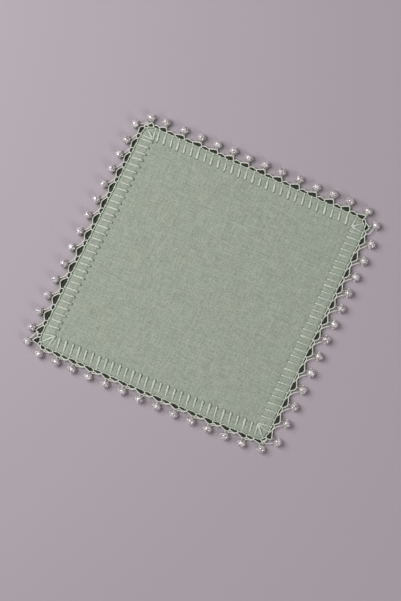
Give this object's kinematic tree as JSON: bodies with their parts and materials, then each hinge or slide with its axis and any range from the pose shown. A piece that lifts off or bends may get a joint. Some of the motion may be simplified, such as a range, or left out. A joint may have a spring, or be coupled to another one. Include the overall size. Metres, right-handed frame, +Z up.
{
  "type": "square linen table cloth with a beaded lace edging",
  "caption": "Small square cloth of sage linen, lying flat, with a blanket-stitched hem and a needle-lace edging that carries clear glass beads.",
  "frame": {"origin": "middle of the outline, on the surface that the underside rests on", "axes": "+Z up through the cloth's face, +Y towards the side that lies upper right in the picture, +X along it, clockwise seen from above"},
  "size_m": [0.1375, 0.1349, 0.004],
  "materials": {
    "linen": "matt plain weave, sage green",
    "stitching_thread": "soft twisted cotton, pale green",
    "lace_thread": "soft twisted cotton, pale green",
    "clear_glass": "clear polished glass"
  },
  "bodies": {
    "root": {"cloth": "linen", "blanket_stitch": "stitching_thread", "lace_edging": "lace_thread", "bead_01": "clear_glass", "bead_02": "clear_glass", "bead_03": "clear_glass", "bead_04": "clear_glass", "bead_05": "clear_glass", "bead_06": "clear_glass", "bead_07": "clear_glass", "bead_08": "clear_glass", "bead_09": "clear_glass", "bead_10": "clear_glass", "bead_11": "clear_glass", "bead_12": "clear_glass", "bead_13": "clear_glass", "bead_14": "clear_glass", "bead_15": "clear_glass", "bead_16": "clear_glass", "bead_17": "clear_glass", "bead_18": "clear_glass", "bead_19": "clear_glass", "bead_20": "clear_glass", "bead_21": "clear_glass", "bead_22": "clear_glass", "bead_23": "clear_glass", "bead_24": "clear_glass", "bead_25": "clear_glass", "bead_26": "clear_glass", "bead_27": "clear_glass", "bead_28": "clear_glass", "bead_29": "clear_glass", "bead_30": "clear_glass", "bead_31": "clear_glass", "bead_32": "clear_glass", "bead_33": "clear_glass", "bead_34": "clear_glass", "bead_35": "clear_glass", "bead_36": "clear_glass", "bead_37": "clear_glass", "bead_38": "clear_glass", "bead_39": "clear_glass", "bead_40": "clear_glass", "bead_41": "clear_glass", "bead_42": "clear_glass", "bead_43": "clear_glass", "bead_44": "clear_glass", "bead_45": "clear_glass", "bead_46": "clear_glass", "bead_47": "clear_glass", "bead_48": "clear_glass", "bead_49": "clear_glass", "bead_50": "clear_glass", "bead_51": "clear_glass", "bead_52": "clear_glass", "bead_53": "clear_glass", "bead_54": "clear_glass", "bead_55": "clear_glass", "bead_56": "clear_glass", "bead_57": "clear_glass"}
  },
  "joints": []
}
